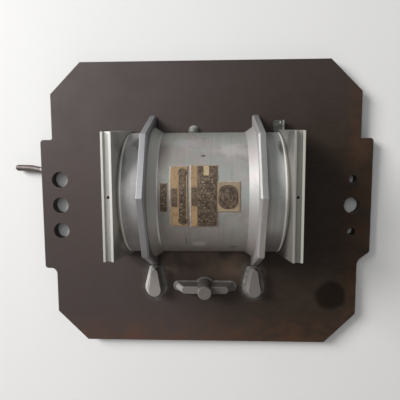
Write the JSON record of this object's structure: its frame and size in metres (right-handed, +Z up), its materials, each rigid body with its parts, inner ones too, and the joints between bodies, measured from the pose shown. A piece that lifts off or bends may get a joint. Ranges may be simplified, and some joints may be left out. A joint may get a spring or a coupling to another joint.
{
  "type": "foundry pattern plate",
  "caption": "Steel foundry pattern plate with guide-pin ears, carrying an aluminium split pattern of a flanged cylindrical housing, its core prints, sprue, runner and feeders.",
  "frame": {"origin": "on the plate's underside, midway between the outer guide-pin holes' centre line on the left ear and the guide-pin hole on the right ear", "axes": "+X towards the ear with one guide-pin hole, along the pattern's axis; +Y away from the sprue and feeders; +Z up from the plate, out of the pattern side"},
  "size_m": [0.5509, 0.435, 0.1322],
  "materials": {
    "plate_steel": "dark ground plate, oxidised, with rust along the edges",
    "cast_aluminium": "dull filed and worn casting",
    "machined_aluminium": "machined, bright along its edges",
    "gating_metal": "hand-filed, matt",
    "filler": "smeared grey filler",
    "marking_brass": "worn brass with dark patina",
    "rod_steel": "worn mild steel",
    "screw_steel": "black oxide"
  },
  "bodies": {
    "root": {"pattern_plate": "plate_steel", "barrel": "cast_aluminium", "hub_left": "cast_aluminium", "hub_right": "cast_aluminium", "flange_left": "machined_aluminium", "flange_right": "machined_aluminium", "core_print_left": "machined_aluminium", "core_print_right": "machined_aluminium", "sprue": "gating_metal", "runner_left": "gating_metal", "runner_right": "gating_metal", "feeder_left": "gating_metal", "feeder_right": "gating_metal", "gate_left": "gating_metal", "gate_right": "gating_metal", "feeder_bead_left": "filler", "feeder_bead_right": "filler", "runner_bead": "filler", "far_boss": "cast_aluminium", "locating_lug": "cast_aluminium", "marking_strip": "marking_brass", "marking_bar_plate": "marking_brass", "marking_block_plate": "marking_brass", "marking_disc_plate": "marking_brass", "lifting_rod": "rod_steel", "rod_weld": "rod_steel", "barrel_screws": "screw_steel", "hub_screws": "screw_steel", "flange_screws": "screw_steel", "core_print_screws": "screw_steel", "sprue_screw": "screw_steel", "runner_screws": "screw_steel", "feeder_screws": "screw_steel", "lug_screw": "screw_steel", "barrel_dowels": "screw_steel", "core_print_dowels": "screw_steel"}
  },
  "joints": []
}
